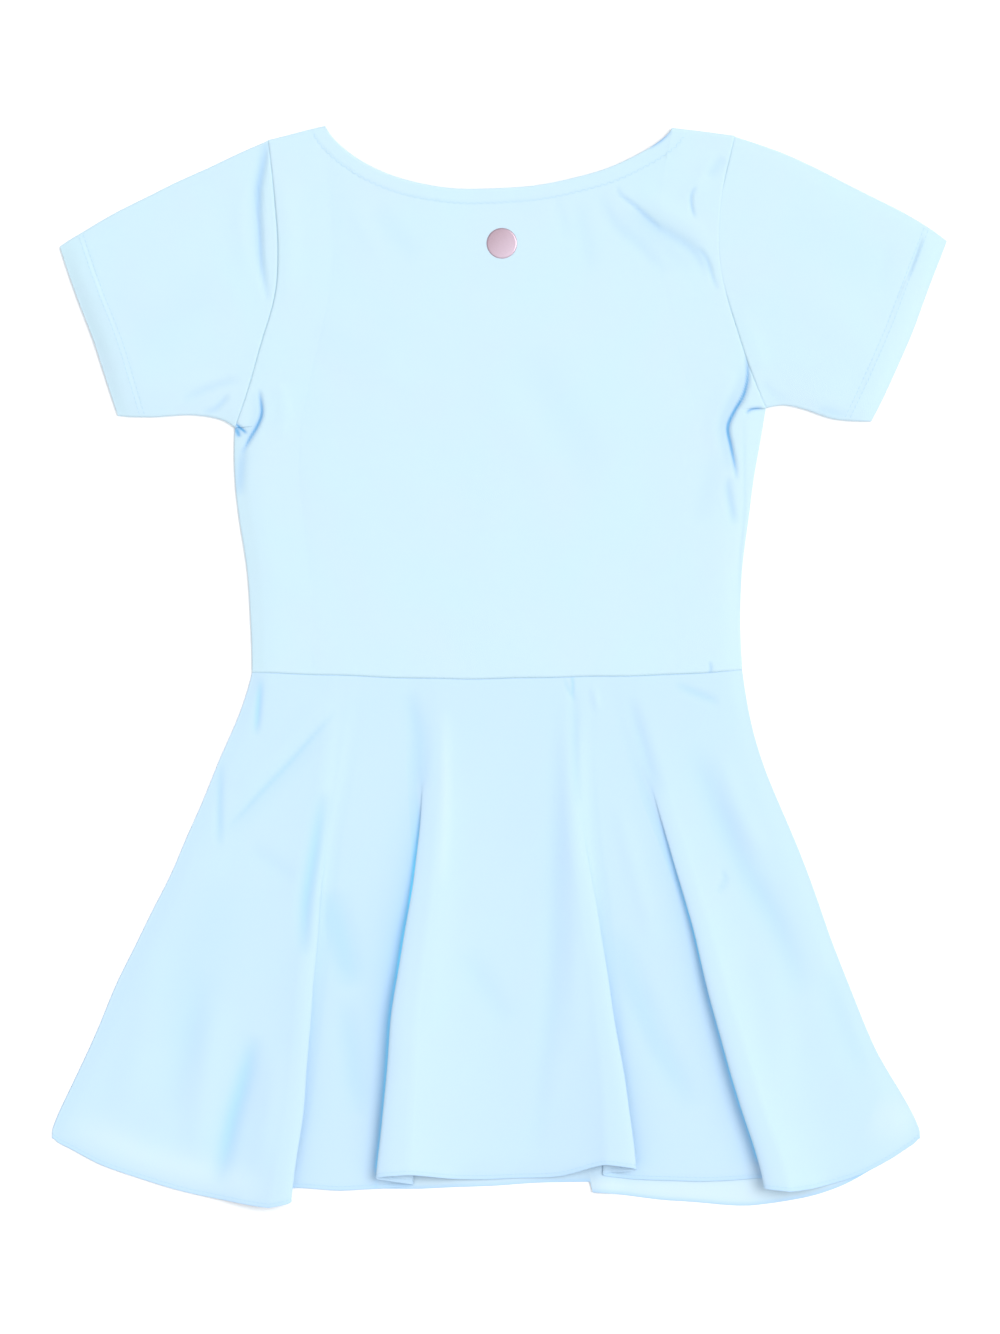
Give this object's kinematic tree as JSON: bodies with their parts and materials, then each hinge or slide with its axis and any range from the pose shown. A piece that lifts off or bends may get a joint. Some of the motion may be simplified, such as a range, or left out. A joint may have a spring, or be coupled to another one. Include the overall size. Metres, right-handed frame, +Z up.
{
  "type": "short-sleeved dress",
  "caption": "Short-sleeved jersey dress with a wide scoop neck and a flared circle skirt, laid flat, to be worn for dancing or shown on a table.",
  "frame": {"origin": "on the floor, in the middle of the outline", "axes": "+Y towards the neck, +X towards the right-hand cuff as seen from above, +Z up from the floor"},
  "size_m": [0.4754, 0.5719, 0.0127],
  "materials": {
    "jersey": "matte",
    "skirt_cloth": "matte"
  },
  "bodies": {
    "root": {"bodice_front": "jersey", "bodice_back": "jersey", "sleeve_left": "jersey", "sleeve_right": "jersey", "skirt_front": "skirt_cloth", "skirt_back": "skirt_cloth"}
  },
  "joints": []
}
